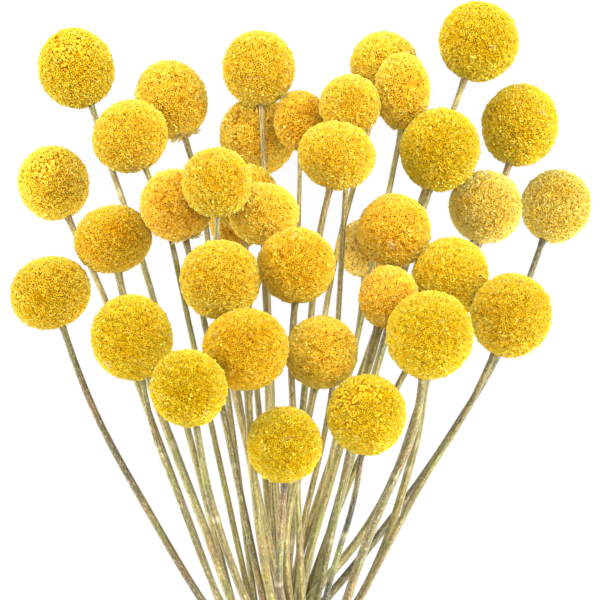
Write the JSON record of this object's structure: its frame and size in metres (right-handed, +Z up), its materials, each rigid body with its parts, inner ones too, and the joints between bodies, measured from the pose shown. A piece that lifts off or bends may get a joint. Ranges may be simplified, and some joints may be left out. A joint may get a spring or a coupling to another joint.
{
  "type": "billy buttons bunch",
  "caption": "Bunch of dried billy buttons: round yellow flower heads on slender stems, tied at a waist with twine and lying down.",
  "frame": {"origin": "on the surface the bunch lies on, below the middle of its bounding box", "axes": "+Y along the bunch from the cut ends to the flower heads, +Z up from the surface it lies on, toward the viewer of the picture, +X across it to the right of the picture"},
  "size_m": [0.1928, 0.3978, 0.1047],
  "materials": {
    "florets_lemon": "matte",
    "florets_golden": "matte",
    "florets_amber": "matte",
    "florets_straw": "matte",
    "stem": "matte",
    "twine": "matte"
  },
  "bodies": {
    "root": {"head_01": "florets_lemon", "head_02": "florets_golden", "head_03": "florets_golden", "head_04": "florets_golden", "head_05": "florets_lemon", "head_06": "florets_lemon", "head_07": "florets_golden", "head_08": "florets_golden", "head_09": "florets_amber", "head_10": "florets_amber", "head_11": "florets_golden", "head_12": "florets_golden", "head_13": "florets_amber", "head_14": "florets_golden", "head_15": "florets_amber", "head_16": "florets_lemon", "head_17": "florets_lemon", "head_18": "florets_lemon", "head_19": "florets_golden", "head_20": "florets_golden", "head_21": "florets_amber", "head_22": "florets_golden", "head_23": "florets_lemon", "head_24": "florets_straw", "head_25": "florets_straw", "head_26": "florets_amber", "head_27": "florets_straw", "head_28": "florets_lemon", "head_29": "florets_amber", "head_30": "florets_golden", "head_31": "florets_lemon", "head_32": "florets_golden", "head_33": "florets_lemon", "head_34": "florets_lemon", "head_35": "florets_lemon", "head_36": "florets_lemon", "head_37": "florets_amber", "stem_21": "stem", "stems_01_06": "stem", "stems_02_14": "stem", "stems_03_04": "stem", "stems_05_20": "stem", "stems_07_09": "stem", "stems_08_22": "stem", "stems_10_11": "stem", "stems_12_13": "stem", "stems_15_18": "stem", "stems_16_24": "stem", "stems_17_25": "stem", "stems_19_27": "stem", "stems_23_28": "stem", "stems_26_32": "stem", "stems_29_30": "stem", "stems_31_33": "stem", "stems_34_37": "stem", "stems_35_36": "stem", "twine_tie": "twine"}
  },
  "joints": []
}
